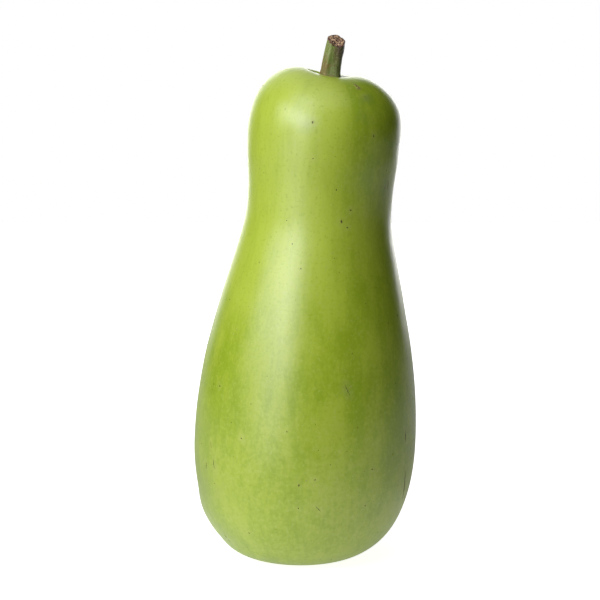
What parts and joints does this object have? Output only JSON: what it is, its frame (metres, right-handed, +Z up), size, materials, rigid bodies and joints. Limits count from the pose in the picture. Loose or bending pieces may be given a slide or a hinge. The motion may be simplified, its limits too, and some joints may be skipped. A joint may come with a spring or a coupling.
{
  "type": "bottle gourd",
  "caption": "Whole fresh bottle gourd with smooth light green skin, a narrow neck, a swollen belly and a short ridged stem, standing on its blossom end.",
  "frame": {"origin": "on the surface that the gourd stands on, under the middle of its belly", "axes": "+Z up along the gourd's height, from the blossom end to the stem; +X to the side that the neck leans to; the stem tips forward, to -Y"},
  "size_m": [0.1211, 0.1208, 0.2866],
  "materials": {
    "gourd_skin": "waxy semi-gloss, light green with faint paler streaks and small brown specks",
    "stem_bark": "matt ridged green stem with brown corky patches and a dry fibrous cut end"
  },
  "bodies": {
    "root": {"fruit": "gourd_skin", "stem": "stem_bark"}
  },
  "joints": []
}
